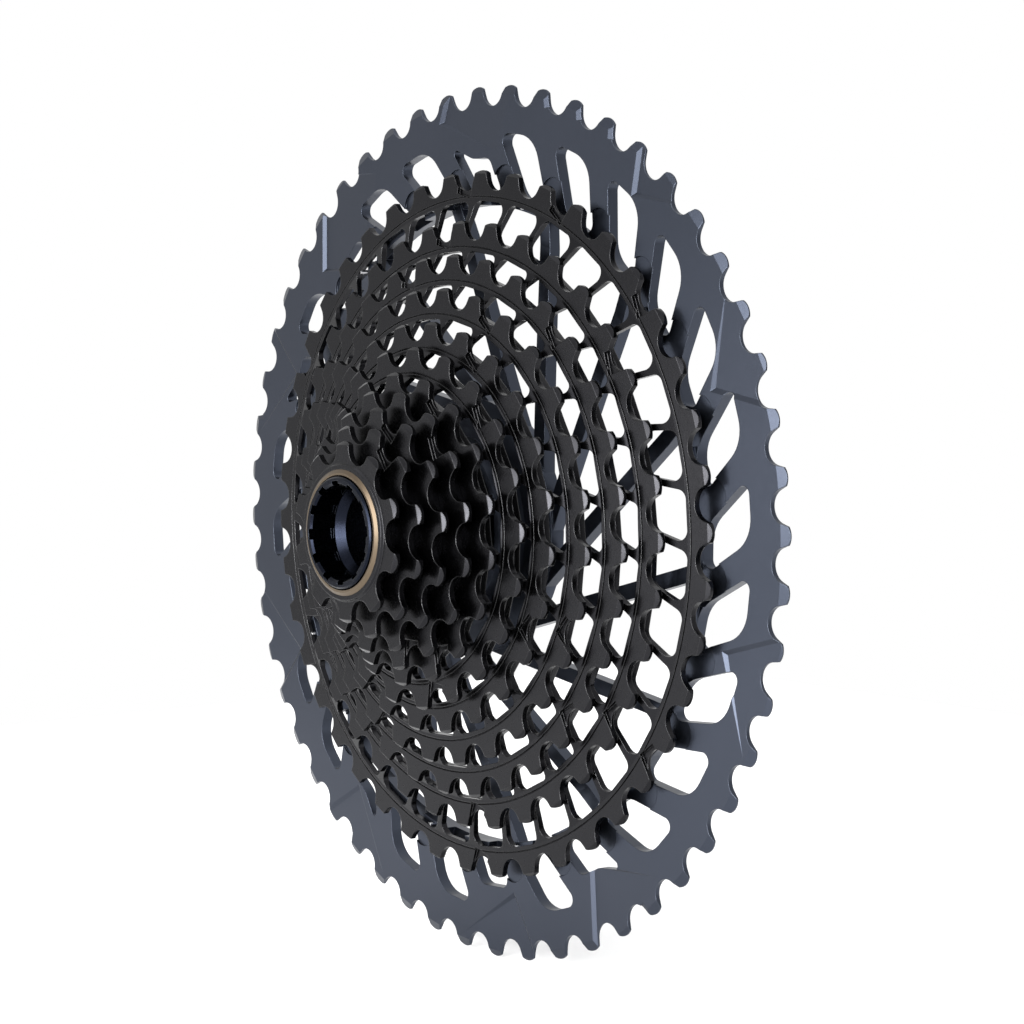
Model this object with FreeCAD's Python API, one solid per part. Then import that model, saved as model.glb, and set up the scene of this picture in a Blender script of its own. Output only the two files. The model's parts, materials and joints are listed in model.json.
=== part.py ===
import FreeCAD, Part
import math
import os

os.makedirs("parts", exist_ok=True)

# A 12-speed bicycle cassette. Lengths in mm, angles in degrees.
# The spin axis is Y. The small sprocket faces -Y (away from the wheel).
# The origin is on the axis, in the face that rests on the hub driver's shoulder.

# ---- driving dimensions -------------------------------------------------------
CHAIN_PITCH = 12.7
VALLEY_R = 3.9            # radius of the roller seat between two teeth
VALLEY_HALF = 68.0        # half of the angle that the roller seat spans
AXIAL_PITCH = 3.8         # from one sprocket's front face to the next one's
PLATE = 1.5               # thickness of a steel sprocket
DISH = 3.0                # how far the big sprocket's face lies inboard of the seat
BIG_PLATE = 3.0           # thickness of the big aluminium sprocket's ring
BIG_TOOTH = 1.2           # thickness of its teeth

TEETH = (52, 42, 36, 32, 28, 24, 21, 18, 16, 14, 12, 10)
# angle of one tooth of each sprocket, from +X towards +Z
CLOCK = {52: 8.85, 42: 2.14, 36: 0.42, 32: 9.37, 28: 9.64, 24: 10.82,
         21: 2.14, 18: 12.30, 16: 10.71, 14: 7.50, 12: 12.70, 10: 19.10}
# teeth (counted from the clock tooth) that carry a shift ramp
RAMP_TEETH = {42: (4, 7, 10, 17, 24, 31, 37), 36: (3, 9, 14, 20, 27, 32),
              32: (3, 8, 14, 20, 27), 28: (4, 11, 18, 25), 24: (3, 9, 15, 21),
              21: (2, 9, 16), 18: (2, 8, 14), 16: (1, 7, 12), 14: (2, 9), 12: (1, 7)}

# windowed webs of the steel sprockets
RIM_WIDTH = 2.5           # from the tooth root in to the windows
SEAM_DEPTH = 0.4          # turned groove just inside the tooth roots
SEAM_WIDTH = 0.3
SEAM_IN = 1.7             # from the tooth root in to the groove
TIP_HEIGHT = 0.8          # of the tooth tips over the pitch circle
TIP_BEVEL = 1.0           # how far the bevel of the tips runs, along and across
STRUT = 1.6
STRUT_LEAN = 3.0          # tangential shift of a strut from its inner to its outer end
LAND_WIDTH = 2.8          # flat ring that carries the next smaller sprocket
WEB = 1.2                 # thickness of the sloping webs
CLOSED_BELOW = 18         # this sprocket and the smaller ones have no windows

# big sprocket
WINDOWS = 28
WINDOW_CLOCK = 2.5
WINDOW_IN = 79.6
WINDOW_OUT = 95.0
SHORT_OUT = 89.0
STEPPED_WINDOWS = (7, 12, 18, 23)
SHORT_WINDOWS = (10, 15, 21)
# corner of each shift recess: angle, radius, the way it runs (1 is towards larger angles),
# and the angle between its inner wall and the tangent
RECESSES = ((22.9, 89.5, 1, 33), (54.7, 96.2, -1, 24), (99.9, 100.0, -1, -31),
            (137.5, 93.8, -1, -48), (157.0, 91.0, 1, 24), (205.0, 91.0, -1, 24),
            (233.0, 91.0, 1, 24), (277.0, 91.0, -1, 24), (297.8, 88.4, 1, 24),
            (344.7, 90.0, -1, 30))
RECESS_LENGTH = 23.0
RECESS_DEPTH = 0.7        # at the corner; the floor rises to the face at the far end
RECESS_SLOPE = 36.0       # of the walls, against the face
FACET_TEETH = (7, 8, 9, 10, 17, 23, 33, 43)
LAND_OUT = 79.4           # outer radius of the raised pads under the 42-tooth sprocket
RING_IN = 77.5
ARMS = 14
ARM_WIDTH = 3.6
ARM_THICK = 3.3
ARM_OFFSET = 26.5         # distance of each arm's centre line from the axis
ARM_CLOCK = 15.55
ARM_RISE = 0.092          # how far inboard an arm runs for each mm outward
HUB_R = 22.0
SEAT_R = 24.5
FLANGE_R = 31.0
HUB_LENGTH = 10.5
DRIVER_R = 17.4           # smooth pilot bore on the hub driver
PILOT_LENGTH = 4.0
SPLINES = 18
SPLINE_TIP_R = 16.2

# lock tube and what holds it
TUBE_R = 13.2
TUBE_FRONT = 43.55 - DISH
TUBE_BACK = 17.0 - DISH
TOOL_LAND_R = 11.2
TOOL_NOTCH_R = 12.2
TOOL_NOTCHES = 12
TOOL_DEPTH = 6.5
NOTCH_WIDTH = 2.5
TOOL_CLOCK = 5.0
STEP_LENGTH = 2.0         # cone from the tool lands down to the guide bore
GUIDE_R = 9.5             # smooth bore that rides on the driver's nose
THREAD_R = 11.5
THREAD_LENGTH = 9.0
COLLAR_R = 14.15
SLEEVE_BORE_R = 13.55
JOURNAL_R = 13.26
RETAINER_R = 14.86
RETAINER_SEAT_R = 14.88
COLLAR_BORE_R = 14.5

# bores of the collars between the small sprockets
SPACER_BORES = {(18, 16): 24.6, (16, 14): 20.6, (14, 12): 16.6, (12, 10): COLLAR_BORE_R}

PIN_R = 0.55
PIN_ORBIT = 78.55


# ---- helpers -------------------------------------------------------------------
def at(radius, angle, y=0.0):
    a = math.radians(angle)
    return FreeCAD.Vector(radius * math.cos(a), y, radius * math.sin(a))


def pitch_radius(teeth):
    return CHAIN_PITCH / 2.0 / math.sin(math.pi / teeth)


def root_radius(teeth):
    return pitch_radius(teeth) - VALLEY_R


def face_y(teeth):
    """The front face of a sprocket."""
    return DISH - AXIAL_PITCH * TEETH.index(teeth)


def turned(points):
    """A solid of revolution about Y from (radius, y) corners."""
    corners = [FreeCAD.Vector(r, y, 0) for r, y in points]
    wire = Part.makePolygon(corners + corners[:1])
    return Part.Face(wire).revolve(FreeCAD.Vector(0, 0, 0), FreeCAD.Vector(0, 1, 0), 360)


def tube(outer, inner, y0, y1):
    return turned([(inner, y0), (outer, y0), (outer, y1), (inner, y1)])


def extruded(wire, y0, y1):
    face = Part.Face(wire)
    face.translate(FreeCAD.Vector(0, y0, 0))
    return face.extrude(FreeCAD.Vector(0, y1 - y0, 0))


def rod(radius, centre, y0, y1):
    base = FreeCAD.Vector(centre.x, y0, centre.z)
    return Part.makeCylinder(radius, y1 - y0, base, FreeCAD.Vector(0, 1, 0))


def rounded(points, radii):
    """A closed wire through the corners, each one rounded by its own arc."""
    count = len(points)
    starts = []
    arcs = []
    for i in range(count):
        corner = points[i]
        before = (points[i - 1] - corner).normalize()
        after = (points[(i + 1) % count] - corner).normalize()
        half = before.getAngle(after) / 2.0
        radius = radii[i]
        back = radius / math.tan(half)
        bisector = (before + after).normalize()
        middle = corner + bisector * (radius / math.sin(half) - radius)
        enter = corner + before * back
        leave = corner + after * back
        arcs.append(Part.Arc(enter, middle, leave).toShape())
        starts.append((enter, leave))
    edges = []
    for i in range(count):
        edges.append(arcs[i])
        edges.append(Part.makeLine(starts[i][1], starts[(i + 1) % count][0]))
    return Part.Wire(edges)


def capsule(first, second, radius, y0, y1):
    """A slot-shaped solid between two points of a face."""
    along = (second - first).normalize()
    side = FreeCAD.Vector(-along.z, 0, along.x) * radius
    edges = [Part.makeLine(first + side, second + side),
             Part.Arc(second + side, second + along * radius, second - side).toShape(),
             Part.makeLine(second - side, first - side),
             Part.Arc(first - side, first - along * radius, first + side).toShape()]
    return extruded(Part.Wire(edges), y0, y1)


def save(shape, node):
    """Write one piece, which has to be a single solid."""
    shape = shape.removeSplitter()
    if len(shape.Solids) != 1:
        raise ValueError(node + " has %d solids" % len(shape.Solids))
    shape.Solids[0].exportStep("parts/" + node + ".step")


# ---- teeth ---------------------------------------------------------------------
def flank(valley_angle, pitch_r, side, top_r):
    """The seat's end and the flank's top, on one side of a valley."""
    phi = math.radians(valley_angle)
    half = math.radians(VALLEY_HALF)
    centre = (pitch_r * math.cos(phi), pitch_r * math.sin(phi))
    turn = phi + math.pi - side * half
    foot = (centre[0] + VALLEY_R * math.cos(turn), centre[1] + VALLEY_R * math.sin(turn))
    lean = phi + side * (math.pi / 2 - half)
    dx = math.cos(lean)
    dz = math.sin(lean)
    along = foot[0] * dx + foot[1] * dz
    rest = foot[0] ** 2 + foot[1] ** 2 - top_r ** 2
    reach = -along + math.sqrt(along * along - rest)
    top = (foot[0] + reach * dx, foot[1] + reach * dz)
    return FreeCAD.Vector(foot[0], 0, foot[1]), FreeCAD.Vector(top[0], 0, top[1])


def tooth_outline(teeth, tip_height):
    """The sprocket's outline: round seats, straight flanks, crowned tips."""
    pitch_r = pitch_radius(teeth)
    tip_r = pitch_r + tip_height
    shoulder_r = tip_r - 0.6
    step = 360.0 / teeth
    edges = []
    for k in range(teeth):
        tooth = CLOCK[teeth] + step * k
        valley = tooth + step / 2.0
        foot_a, top_a = flank(valley, pitch_r, -1, shoulder_r)
        foot_b, top_b = flank(valley, pitch_r, 1, shoulder_r)
        next_top = flank(valley + step, pitch_r, -1, shoulder_r)[1]
        edges.append(Part.makeLine(top_a, foot_a))
        edges.append(Part.Arc(foot_a, at(pitch_r - VALLEY_R, valley), foot_b).toShape())
        edges.append(Part.makeLine(foot_b, top_b))
        edges.append(Part.Arc(top_b, at(tip_r, tooth + step), next_top).toShape())
    return Part.Wire(edges)


def ramp_cut(teeth, tooth):
    """A slanted slice off one tooth's outboard side and the rim below it."""
    step = 360.0 / teeth
    angle = CLOCK[teeth] + step * (tooth + 0.28)
    root = root_radius(teeth)
    block = Part.makeBox(11.0, 3.0, 5.4, FreeCAD.Vector(-2.2, -3.0 + 0.75, 0))
    block.rotate(FreeCAD.Vector(0, 0, 0), FreeCAD.Vector(0, 0, 1), -3.5)
    block.rotate(FreeCAD.Vector(0, 0, 0), FreeCAD.Vector(0, 1, 0), 17)
    block.translate(FreeCAD.Vector(root, face_y(teeth), 0))
    block.rotate(FreeCAD.Vector(0, 0, 0), FreeCAD.Vector(0, 1, 0), -angle)
    return block


# ---- steel sprockets -------------------------------------------------------------
def rim_section(teeth, inner_r):
    """(radius, y) corners of a plain toothed plate with bevelled tips."""
    y = face_y(teeth)
    pitch_r = pitch_radius(teeth)
    tip = pitch_r + TIP_BEVEL
    return [(inner_r, y), (pitch_r, y), (tip, y + TIP_BEVEL), (tip, y + PLATE), (inner_r, y + PLATE)]


def windowed_section(teeth, smaller):
    """The same, with a turned groove and a web that slopes to the next smaller sprocket."""
    y = face_y(teeth)
    root = root_radius(teeth)
    small_root = root_radius(smaller)
    pitch_r = pitch_radius(teeth)
    seam = root - SEAM_IN
    tip = pitch_r + TIP_BEVEL
    shelf = y - AXIAL_PITCH + PLATE
    window_out = root - RIM_WIDTH
    return [(small_root - LAND_WIDTH, shelf), (small_root - 0.3, shelf),
            (small_root + 0.5, shelf + 0.5), (window_out, y), (seam, y),
            (seam, y + SEAM_DEPTH), (seam + SEAM_WIDTH, y + SEAM_DEPTH),
            (seam + SEAM_WIDTH, y), (pitch_r, y), (tip, y + TIP_BEVEL), (tip, y + PLATE),
            (window_out - 0.8, y + PLATE), (small_root - 0.6, shelf + WEB + 0.3),
            (small_root - LAND_WIDTH, shelf + WEB)]


def web_window(teeth, smaller, index):
    """One window, between two leaning struts behind the smaller sprocket's teeth."""
    step = 360.0 / smaller
    inner_r = root_radius(smaller) + 0.25
    outer_r = root_radius(teeth) - RIM_WIDTH
    low = CLOCK[smaller] + step * index
    high = low + step
    half_in = math.degrees(STRUT / 2.0 / inner_r)
    half_out = math.degrees(STRUT / 2.0 / outer_r)
    lean_in = math.degrees(0.55 * STRUT_LEAN / inner_r)
    lean_out = -math.degrees(0.45 * STRUT_LEAN / outer_r)
    corners = [at(inner_r, low + lean_in + half_in), at(inner_r, high + lean_in - half_in),
               at(outer_r, high + lean_out - half_out), at(outer_r, low + lean_out + half_out)]
    y = face_y(teeth)
    radius = min(2.4, 0.28 * (outer_r - inner_r))
    return extruded(rounded(corners, [radius] * 4), y - 6.0, y + 4.0)


def steel_sprocket(teeth):
    position = TEETH.index(teeth)
    y = face_y(teeth)
    if teeth > CLOSED_BELOW:
        smaller = TEETH[position + 1]
        section = windowed_section(teeth, smaller)
        windows = [web_window(teeth, smaller, k) for k in range(smaller)]
    else:
        section = rim_section(teeth, bore_radius(teeth))
        windows = []
    blank = turned(section)
    outline = extruded(tooth_outline(teeth, TIP_HEIGHT), y - 8.0, y + 6.0)
    body = blank.common(outline)
    ramps = [ramp_cut(teeth, k) for k in RAMP_TEETH.get(teeth, ())]
    return body.cut(windows + ramps)


def bore_radius(teeth):
    """The closed plates are open inside wherever nothing bears on them."""
    bores = {18: JOURNAL_R, 16: SPACER_BORES[(16, 14)], 14: SPACER_BORES[(14, 12)],
             12: SLEEVE_BORE_R, 10: COLLAR_BORE_R}
    return bores[teeth]


def sprocket_42():
    body = steel_sprocket(42)
    back = face_y(42) + PLATE
    return body.cut([rod(PIN_R + 0.02, c, back - 1.2, back + 1.0) for c in pin_centres()])


def sprocket_18():
    """The smallest plate of the dome also carries the lock tube's journal boss."""
    y = face_y(18) + PLATE
    boss = turned([(JOURNAL_R, y), (16.2, y), (15.6, y + 2.4), (JOURNAL_R, y + 2.4)])
    return steel_sprocket(18).fuse(boss)


def sprocket_10():
    """A raised lip round the counterbore takes the retainer ring."""
    y = face_y(10)
    lip = turned([(RETAINER_SEAT_R, y), (16.3, y), (15.9, y - 0.6), (RETAINER_SEAT_R, y - 0.6)])
    seat = tube(RETAINER_SEAT_R, 5.0, y - 2.0, y + 0.8)
    return steel_sprocket(10).cut(seat).fuse(lip)


def spacer(larger, smaller):
    """A plain collar between two of the small sprockets."""
    front = face_y(smaller) + PLATE
    back = face_y(larger)
    outer_r = root_radius(smaller) - 1.0
    return tube(outer_r, SPACER_BORES[(larger, smaller)], front, back)


# ---- big aluminium sprocket --------------------------------------------------------
def big_window(index):
    """A leaning slot; some are shorter or stepped, to clear the shift recesses."""
    centre = WINDOW_CLOCK + 360.0 / WINDOWS * index
    inner = [at(WINDOW_IN, centre - 7.3), at(WINDOW_IN, centre + 0.4)]
    if index in STEPPED_WINDOWS:
        outer = [at(WINDOW_OUT - 1.5, centre + 6.3), at(SHORT_OUT, centre + 0.6),
                 at(SHORT_OUT, centre - 3.6)]
        radii = [2.0, 5.0, 1.0, 5.0, 3.0]
    elif index in SHORT_WINDOWS:
        outer = [at(SHORT_OUT, centre + 4.3), at(SHORT_OUT, centre - 3.6)]
        radii = [2.0, 3.5, 2.0, 3.5]
    else:
        outer = [at(WINDOW_OUT, centre + 7.0), at(WINDOW_OUT, centre - 1.2)]
        radii = [2.0, 8.0, 2.0, 8.0]
    return extruded(rounded(inner + outer, radii), DISH - 4.0, DISH + 6.0)


def wedge(corner, along, across, length, width):
    """A prism over the face whose near end slopes; its bottom is flush with the face."""
    rise = FreeCAD.Vector(0, -3.0, 0)
    spread = along * (3.0 / math.tan(math.radians(RECESS_SLOPE)))
    far = corner + along * length
    wire = Part.makePolygon([corner, far, far + rise, corner + rise - spread, corner])
    face = Part.Face(wire)
    face.translate(across * -8.0)
    return face.extrude(across * (width + 8.0))


def shift_recess(angle, radius, sense, slant):
    """A milled pocket with sloping walls; its floor runs out to the face at the far end."""
    wall = at(1.0, angle + sense * (90.0 - slant))
    out = at(1.0, angle - sense * slant)
    corner = at(radius, angle, DISH)
    pocket = wedge(corner, wall, out, RECESS_LENGTH, 24.0)
    pocket = pocket.common(wedge(corner, out, wall, 24.0, RECESS_LENGTH))
    tilt = math.degrees(math.atan(RECESS_DEPTH / RECESS_LENGTH))
    pocket.rotate(corner + wall * RECESS_LENGTH, out, sense * tilt)
    return pocket


def tooth_facet(index):
    """A slanting slice off the outboard edge of one flank of a big tooth."""
    angle = CLOCK[52] + 360.0 / 52 * index
    block = Part.makeBox(7.5, 3.0, 5.0, FreeCAD.Vector(-3.0, -3.0, -5.0))
    block.rotate(FreeCAD.Vector(0, 0, 0), FreeCAD.Vector(1, 0, 0), 19)
    block.rotate(FreeCAD.Vector(0, 0, 0), FreeCAD.Vector(0, 1, 0), -20)
    block.translate(FreeCAD.Vector(pitch_radius(52) - 0.4, DISH, -0.9))
    block.rotate(FreeCAD.Vector(0, 0, 0), FreeCAD.Vector(0, 1, 0), -angle)
    return block


def pad_scallop(index):
    """The round-bottomed hollow between two of the pads."""
    centre = WINDOW_CLOCK + 360.0 / WINDOWS * (index + 0.5) - 2.0
    return capsule(at(79.6, centre - 0.9), at(83.0, centre + 0.6), 4.3, DISH - 4.0, DISH + 0.5)


def arm_bars():
    """Straight bars that leave the hub along lines beside the axis."""
    bars = []
    for k in range(ARMS):
        direction = ARM_CLOCK + 360.0 / ARMS * k
        along = at(1.0, direction)
        foot = at(ARM_OFFSET, direction - 90.0)
        side = at(ARM_WIDTH / 2.0, direction - 90.0)
        start = foot - along * 4.0
        end = foot + along * 75.0
        corners = [start + side, end + side, end - side, start - side]
        wire = Part.makePolygon(corners + corners[:1])
        bars.append(extruded(wire, -30.0, 20.0))
    return bars


def arm_face(radius):
    """The outboard side of the arms."""
    return DISH - ARM_RISE * (71.0 - radius)


def arm_envelope():
    """The dished band that the arms lie in, from the hub flange out to the ring."""
    inner_r = FLANGE_R - 7.0
    outer_r = RING_IN + 1.0
    back = DISH + BIG_PLATE
    return turned([(inner_r, arm_face(inner_r)), (71.0, DISH), (outer_r, DISH), (outer_r, back),
                   (71.0, back), (inner_r, arm_face(inner_r) + ARM_THICK)])


def big_ring():
    """The toothed ring, with raised pads near its inner edge and bevelled thin teeth."""
    front = DISH
    back = DISH + BIG_PLATE
    pitch_r = pitch_radius(52)
    tip = pitch_r + 1.6
    section = [(RING_IN, front - 2.2), (LAND_OUT, front - 2.2), (LAND_OUT, front),
               (pitch_r - 1.2, front), (tip, front + 1.12), (tip, front + BIG_TOOTH),
               (pitch_r - 4.3, front + BIG_TOOTH), (pitch_r - 6.0, back), (RING_IN, back)]
    outline = extruded(tooth_outline(52, 1.05), front - 5.0, back + 5.0)
    return turned(section).common(outline)


def hub():
    """The hub sleeve: a flange, a smooth pilot bore and the spline teeth."""
    back = 0.0
    front = -HUB_LENGTH
    flange_front = arm_face(FLANGE_R) - 0.4
    flange_back = arm_face(FLANGE_R) + ARM_THICK
    body = turned([(SPLINE_TIP_R, front + 0.6), (SPLINE_TIP_R + 0.6, front), (HUB_R - 0.8, front),
                   (HUB_R, front + 0.8), (HUB_R, -4.6), (HUB_R + 2.0, -3.6),
                   (FLANGE_R, flange_front), (FLANGE_R, flange_back), (FLANGE_R - 3.0, flange_back),
                   (SEAT_R, back), (SPLINE_TIP_R, back)])
    pilot = rod(DRIVER_R, at(0, 0), back - PILOT_LENGTH, back + 1.0)
    gaps = []
    step = 360.0 / SPLINES
    for k in range(SPLINES):
        low = step * k - step * 0.29
        high = step * k + step * 0.29
        corners = [at(SPLINE_TIP_R - 2.0, low), at(SPLINE_TIP_R - 2.0, high),
                   at(DRIVER_R - 0.02, high), at(DRIVER_R - 0.02, low)]
        wire = Part.makePolygon(corners + corners[:1])
        gaps.append(extruded(wire, front - 1.0, back - PILOT_LENGTH + 0.5))
    return body.cut([pilot] + gaps)


def toothed_rim():
    """The ring with its windows, recesses, facets, scallops and pin holes."""
    rim = big_ring()
    rim = rim.cut([big_window(k) for k in range(WINDOWS)])
    rim = rim.cut([pad_scallop(k) for k in range(WINDOWS)])
    rim = rim.cut([rod(PIN_R + 0.02, c, DISH - 4.0, DISH + 5.0) for c in pin_centres()])
    rim = rim.cut([tooth_facet(k) for k in FACET_TEETH])
    for recess in RECESSES:
        rim = rim.cut(shift_recess(*recess))
    return rim


def sprocket_52():
    bars = arm_bars()
    arms = arm_envelope().common(bars[0].multiFuse(bars[1:]))
    arms = arms.cut(rod(FLANGE_R - 3.0, at(0, 0), -30.0, 20.0))
    return toothed_rim().fuse([arms, hub()])


# ---- pins, lock tube and its rings ---------------------------------------------------
def pin_centres():
    """One pin in every other pad, inside the windows."""
    return [at(PIN_ORBIT, WINDOW_CLOCK - 3.4 + 360.0 / 14 * k) for k in range(14)]


def ring_pins():
    front = face_y(42) + PLATE - 1.15
    pins = []
    for centre in pin_centres():
        pin = rod(PIN_R, centre, front, DISH + BIG_PLATE)
        pins.append(pin)
    return Part.makeCompound(pins)


def lock_tube():
    """Tool notches at the nose, a collar, a smooth guide bore and the thread bore."""
    nose = -TUBE_FRONT
    tail = -TUBE_BACK
    collar_front = face_y(10) + 1.2
    collar_back = face_y(12) - 0.65
    cone_start = nose + TOOL_DEPTH + 0.4
    thread_start = tail - THREAD_LENGTH
    body = turned([(TOOL_LAND_R + 0.5, nose), (TUBE_R - 0.4, nose), (TUBE_R, nose + 0.4),
                   (TUBE_R, collar_front), (COLLAR_R, collar_front), (COLLAR_R, collar_back),
                   (TUBE_R, collar_back), (TUBE_R, tail - 0.5), (TUBE_R - 0.5, tail),
                   (THREAD_R + 0.5, tail), (THREAD_R, tail - 0.5), (THREAD_R, thread_start),
                   (GUIDE_R, thread_start - 1.0), (GUIDE_R, cone_start + STEP_LENGTH),
                   (TOOL_LAND_R, cone_start), (TOOL_LAND_R, nose + 0.5)])
    notches = []
    for k in range(TOOL_NOTCHES):
        angle = 360.0 / TOOL_NOTCHES * k + TOOL_CLOCK
        box = Part.makeBox(4.0, TOOL_DEPTH, NOTCH_WIDTH,
                           FreeCAD.Vector(TOOL_NOTCH_R - 4.0, nose, -NOTCH_WIDTH / 2))
        box.rotate(FreeCAD.Vector(0, 0, 0), FreeCAD.Vector(0, 1, 0), -angle)
        notches.append(box)
    return body.cut(notches)


def thrust_washer():
    face = face_y(12)
    return tube(14.4, SLEEVE_BORE_R, face - 0.6, face)


def retainer_ring():
    """Pressed into the smallest sprocket, with a bevel round its outer front edge."""
    back = face_y(10) + 0.8
    lip = face_y(10) - 0.6
    front = face_y(10) - 1.1
    return turned([(SLEEVE_BORE_R, back), (SLEEVE_BORE_R, front), (RETAINER_R - 0.8, front),
                   (RETAINER_R, lip), (RETAINER_R, back)])


# ---- write every piece -----------------------------------------------------------------
save(sprocket_52(), "sprocket_52t")
save(sprocket_42(), "sprocket_42t")
for count in (36, 32, 28, 24, 21):
    save(steel_sprocket(count), "sprocket_%dt" % count)
save(sprocket_18(), "sprocket_18t")
for count in (16, 14, 12):
    save(steel_sprocket(count), "sprocket_%dt" % count)
save(sprocket_10(), "sprocket_10t")
save(spacer(18, 16), "spacer_18_16")
save(spacer(16, 14), "spacer_16_14")
save(spacer(14, 12), "spacer_14_12")
save(spacer(12, 10), "spacer_12_10")
ring_pins().exportStep("parts/ring_pins.step")
save(lock_tube(), "lock_tube")
save(thrust_washer(), "thrust_washer")
save(retainer_ring(), "retainer_ring")
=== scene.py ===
import bpy
import json
import math
from mathutils import Matrix, Vector


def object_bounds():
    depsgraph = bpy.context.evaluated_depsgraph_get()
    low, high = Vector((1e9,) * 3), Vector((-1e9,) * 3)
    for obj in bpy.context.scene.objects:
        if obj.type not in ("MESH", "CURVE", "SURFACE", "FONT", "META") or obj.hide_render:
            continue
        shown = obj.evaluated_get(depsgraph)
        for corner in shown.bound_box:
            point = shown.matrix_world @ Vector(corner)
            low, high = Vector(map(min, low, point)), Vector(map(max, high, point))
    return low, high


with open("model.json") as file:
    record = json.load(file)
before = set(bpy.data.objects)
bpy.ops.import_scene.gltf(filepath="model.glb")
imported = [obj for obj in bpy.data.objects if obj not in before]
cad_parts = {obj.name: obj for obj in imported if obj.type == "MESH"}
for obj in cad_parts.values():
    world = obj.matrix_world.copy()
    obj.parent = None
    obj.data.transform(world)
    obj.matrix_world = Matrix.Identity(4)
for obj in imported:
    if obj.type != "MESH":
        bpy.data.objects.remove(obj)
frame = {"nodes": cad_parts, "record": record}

CAD_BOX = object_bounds()

# camera, as fitted to the sprocket circles
AZIMUTH = 51.99
ELEVATION = 3.93
DISTANCE = 0.6629
SIDEWAYS = 0.006578
RAISED = 0.003064
LENS = 95.48
RING_FACE_Y = 0.003

# noise scales, in features per metre
BROAD_SCALE = 22.0
PATCH_SCALE = 260.0
FINE_SCALE = 900.0
GRIT_SCALE = 4200.0
FLOOR_SCALE = 40.0

GRIT_HEIGHT = 0.0001
BEVEL_SAMPLES = 6
FLOOR_HALF = 0.42
FLOOR_GAP = 0.0005        # under the lowest tooth
FLOOR_WHITE = (0.93, 0.93, 0.93)


# ---- node helpers --------------------------------------------------------------
def new_material(name):
    material = bpy.data.materials.new(name)
    material.use_nodes = True
    tree = material.node_tree
    shader = tree.nodes["Principled BSDF"]
    return material, tree, shader


def node(tree, kind, **values):
    made = tree.nodes.new(kind)
    for key, value in values.items():
        setattr(made, key, value)
    return made


def noise(tree, coords, scale, detail=3.0):
    made = node(tree, "ShaderNodeTexNoise")
    made.inputs["Scale"].default_value = scale
    made.inputs["Detail"].default_value = detail
    tree.links.new(coords, made.inputs["Vector"])
    return made.outputs["Fac"]


def ramp(tree, value, low, high, at_low, at_high):
    made = node(tree, "ShaderNodeMapRange")
    made.inputs["From Min"].default_value = low
    made.inputs["From Max"].default_value = high
    made.inputs["To Min"].default_value = at_low
    made.inputs["To Max"].default_value = at_high
    tree.links.new(value, made.inputs["Value"])
    return made.outputs["Result"]


def mix(tree, factor, first, second):
    made = node(tree, "ShaderNodeMix", data_type="RGBA")
    tree.links.new(factor, made.inputs["Factor"])
    for socket, value in ((made.inputs["A"], first), (made.inputs["B"], second)):
        if isinstance(value, tuple):
            socket.default_value = (*value, 1.0)
        else:
            tree.links.new(value, socket)
    return made.outputs["Result"]


def rounded_normal(tree, radius):
    bevel = node(tree, "ShaderNodeBevel", samples=BEVEL_SAMPLES)
    bevel.inputs["Radius"].default_value = radius
    return bevel.outputs["Normal"]


def edge_mask(tree, radius):
    """One where the surface turns sharply within the radius, nought on flat faces."""
    flat = node(tree, "ShaderNodeNewGeometry")
    dot = node(tree, "ShaderNodeVectorMath", operation="DOT_PRODUCT")
    tree.links.new(rounded_normal(tree, radius), dot.inputs[0])
    tree.links.new(flat.outputs["Normal"], dot.inputs[1])
    return ramp(tree, dot.outputs["Value"], 0.98, 0.86, 0.0, 1.0)


def rubbed_glinting_edges(tree, coords, edge, wear_and_glint_amount):
    """How much of the edge colour shows, part real rubbing and part painted edge highlight:
    on edges only, and patchy along them.
    """
    patch = noise(tree, coords, PATCH_SCALE, 3.0)
    rub = node(tree, "ShaderNodeMath", operation="MULTIPLY")
    tree.links.new(edge_mask(tree, edge), rub.inputs[0])
    tree.links.new(ramp(tree, patch, 0.35, 0.75, 0.25 * wear_and_glint_amount, wear_and_glint_amount), rub.inputs[1])
    return rub.outputs[0]


def gritty_normal(tree, coords, edge, grain):
    """Softened edges with a fine grain on top."""
    bump = node(tree, "ShaderNodeBump")
    bump.inputs["Strength"].default_value = grain
    bump.inputs["Distance"].default_value = GRIT_HEIGHT
    tree.links.new(noise(tree, coords, GRIT_SCALE, 1.0), bump.inputs["Height"])
    tree.links.new(rounded_normal(tree, edge), bump.inputs["Normal"])
    return bump.outputs["Normal"]


def metal(name, colour, tint, wear_and_glint_colour, roughness, spread, edge, grain=0.02, wear_and_glint_amount=0.35):
    material, tree, shader = new_material(name)
    coords = node(tree, "ShaderNodeTexCoord").outputs["Object"]
    broad = noise(tree, coords, BROAD_SCALE, 4.0)
    base = mix(tree, ramp(tree, broad, 0.35, 0.65, 0.0, 1.0), colour, tint)
    wear_and_glint_part = rubbed_glinting_edges(tree, coords, edge, wear_and_glint_amount)
    fine = noise(tree, coords, FINE_SCALE, 2.0)
    rough = ramp(tree, fine, 0.3, 0.7, roughness - spread, roughness + spread)
    # Edge colour: part real rubbing, part painted highlight standing in for the thin bright
    # glints along edges.
    tree.links.new(mix(tree, wear_and_glint_part, base, wear_and_glint_colour), shader.inputs["Base Color"])
    tree.links.new(rough, shader.inputs["Roughness"])
    tree.links.new(gritty_normal(tree, coords, edge, grain), shader.inputs["Normal"])
    shader.inputs["Metallic"].default_value = 1.0
    return material


# ---- materials -----------------------------------------------------------------
def slate_anodised():
    return metal("slate_anodised", colour=(0.039, 0.045, 0.060), tint=(0.042, 0.048, 0.064),
                 wear_and_glint_colour=(0.10, 0.11, 0.13), roughness=0.34, spread=0.02, edge=0.00025,
                 grain=0.06, wear_and_glint_amount=0.5)


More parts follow.
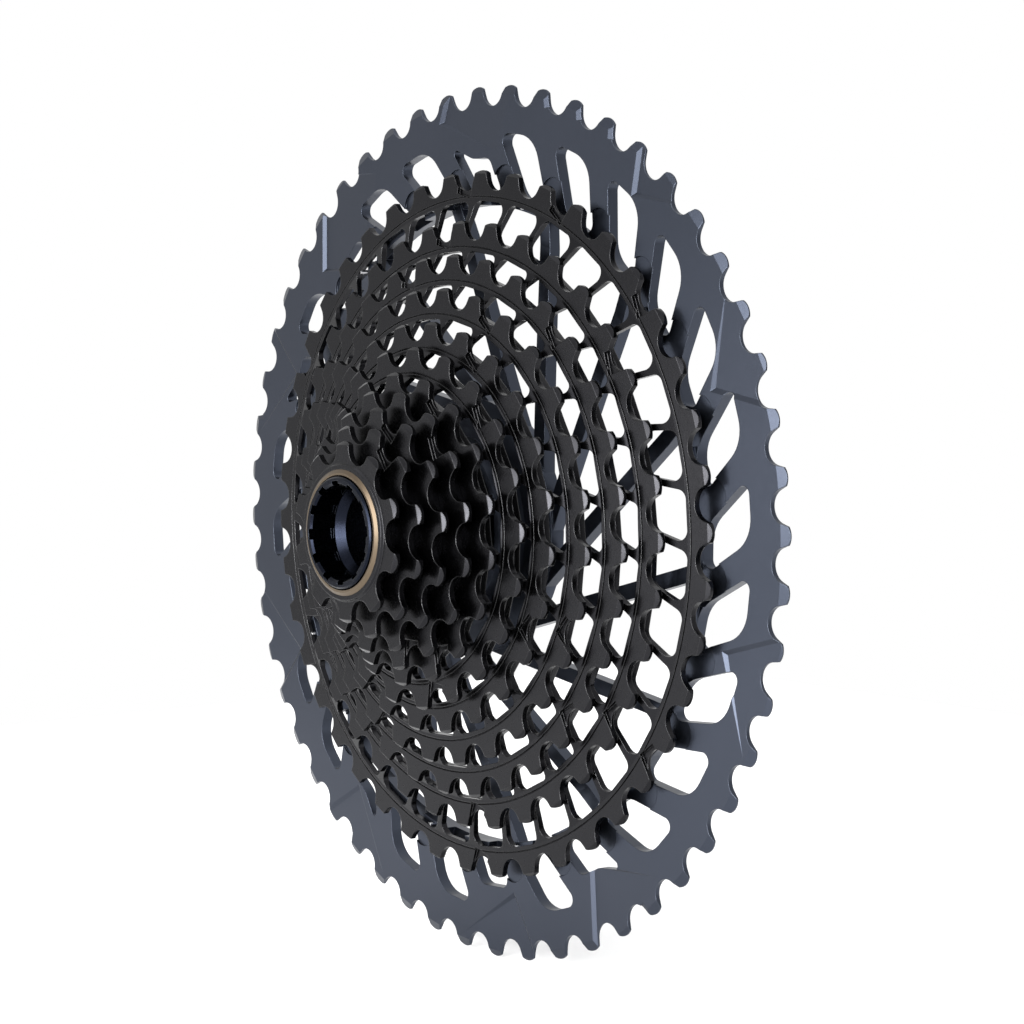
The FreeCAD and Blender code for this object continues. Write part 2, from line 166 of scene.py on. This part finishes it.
def black_coated_steel():
    # Its light edge colour is largely a painted highlight, for the thin bright lines along
    # the tooth edges.
    return metal("black_coated_steel", colour=(0.0175, 0.0175, 0.0195),
                 tint=(0.0195, 0.0195, 0.0215), wear_and_glint_colour=(0.12, 0.12, 0.12), roughness=0.26,
                 spread=0.02, edge=0.0003, grain=0.06, wear_and_glint_amount=0.4)


def ground_steel():
    return metal("ground_steel", colour=(0.42, 0.42, 0.43), tint=(0.36, 0.36, 0.37),
                 wear_and_glint_colour=(0.7, 0.7, 0.7), roughness=0.25, spread=0.05, edge=0.0002)


def bare_steel():
    return metal("bare_steel", colour=(0.36, 0.36, 0.37), tint=(0.3, 0.3, 0.31),
                 wear_and_glint_colour=(0.6, 0.6, 0.6), roughness=0.3, spread=0.05, edge=0.0002)


def pale_bronze():
    return metal("pale_bronze", colour=(0.12, 0.094, 0.066), tint=(0.10, 0.076, 0.053),
                 wear_and_glint_colour=(0.6, 0.5, 0.38), roughness=0.36, spread=0.03, edge=0.0001,
                 grain=0.02, wear_and_glint_amount=0.6)


def blue_black_anodised():
    return metal("blue_black_anodised", colour=(0.007, 0.008, 0.013),
                 tint=(0.009, 0.011, 0.017), wear_and_glint_colour=(0.09, 0.10, 0.11), roughness=0.26,
                 spread=0.03, edge=0.0002, grain=0.05, wear_and_glint_amount=0.3)


def materials():
    return {
        "big_sprocket": slate_anodised(),
        "black_steel": black_coated_steel(),
        "pin_steel": ground_steel(),
        "washer_steel": bare_steel(),
        "bronze": pale_bronze(),
        "lock_tube": blue_black_anodised(),
    }


def dress(found):
    slots = {entry["node"]: entry["material_slot"] for entry in frame["record"]["subparts"]}
    for name, obj in frame["nodes"].items():
        for place in obj.material_slots:
            place.material = found[slots[name]]
        if not obj.material_slots:
            obj.data.materials.append(found[slots[name]])


# ---- floor, lights, camera -------------------------------------------------------
def plain(name, colour, roughness):
    material, tree, shader = new_material(name)
    coords = node(tree, "ShaderNodeTexCoord").outputs["Object"]
    cloud = noise(tree, coords, FLOOR_SCALE)
    value = ramp(tree, cloud, 0.3, 0.7, roughness - 0.05, roughness + 0.05)
    tree.links.new(value, shader.inputs["Roughness"])
    shader.inputs["Base Color"].default_value = (*colour, 1.0)
    return material


def floor():
    z = CAD_BOX[0][2] - FLOOR_GAP
    half = FLOOR_HALF
    corners = [(-half, -half, z), (half, -half, z), (half, half, z), (-half, half, z)]
    mesh = bpy.data.meshes.new("floor")
    mesh.from_pydata(corners, [], [(0, 1, 2, 3)])
    obj = bpy.data.objects.new("floor", mesh)
    bpy.context.collection.objects.link(obj)
    mesh.materials.append(plain("floor_white", FLOOR_WHITE, 0.7))


def area(name, where, target, size, power):
    light = bpy.data.lights.new(name, "AREA")
    light.shape = "RECTANGLE"
    light.size = size[0]
    light.size_y = size[1]
    light.energy = power
    obj = bpy.data.objects.new(name, light)
    obj.location = where
    aim = Vector(target) - Vector(where)
    obj.rotation_euler = aim.to_track_quat("-Z", "Y").to_euler()
    bpy.context.collection.objects.link(obj)


def white_world():
    world = bpy.data.worlds.new("studio")
    world.use_nodes = True
    background = world.node_tree.nodes["Background"]
    background.inputs["Color"].default_value = (1.0, 1.0, 1.0, 1.0)
    background.inputs["Strength"].default_value = 1.0
    bpy.context.scene.world = world


def lights():
    centre = (0.0, -0.01, 0.0)
    right_side = (0.08, 0.0, -0.03)
    white_world()
    area("front_soft", (0.54, -1.66, 0.466), centre, (2.0, 1.32), 78.0)
    area("top_soft", (0.0, 0.0, 1.3), centre, (1.6, 1.6), 10.0)
    area("edge_strip", (0.985, -1.26, 0.06), centre, (0.22, 0.9), 18.0)
    area("low_fill", (-0.55, -0.79, -0.045), right_side, (0.36, 0.12), 0.75)


def camera():
    a = math.radians(AZIMUTH)
    e = math.radians(ELEVATION)
    back = Vector((math.sin(a) * math.cos(e), -math.cos(a) * math.cos(e), math.sin(e)))
    right = Vector((math.cos(a), math.sin(a), 0.0))
    up = back.cross(right)
    target = Vector((0.0, RING_FACE_Y, 0.0))
    data = bpy.data.cameras.new("camera")
    data.lens = LENS
    data.sensor_width = 36.0
    data.clip_start = 0.01
    data.clip_end = 50.0
    obj = bpy.data.objects.new("camera", data)
    place = back * DISTANCE + right * SIDEWAYS + up * RAISED + target
    axes = Matrix((right, up, back)).transposed().to_4x4()
    obj.matrix_world = Matrix.Translation(place) @ axes
    bpy.context.collection.objects.link(obj)
    bpy.context.scene.camera = obj


dress(materials())
floor()
lights()
camera()
bpy.context.scene.view_settings.view_transform = "Standard"
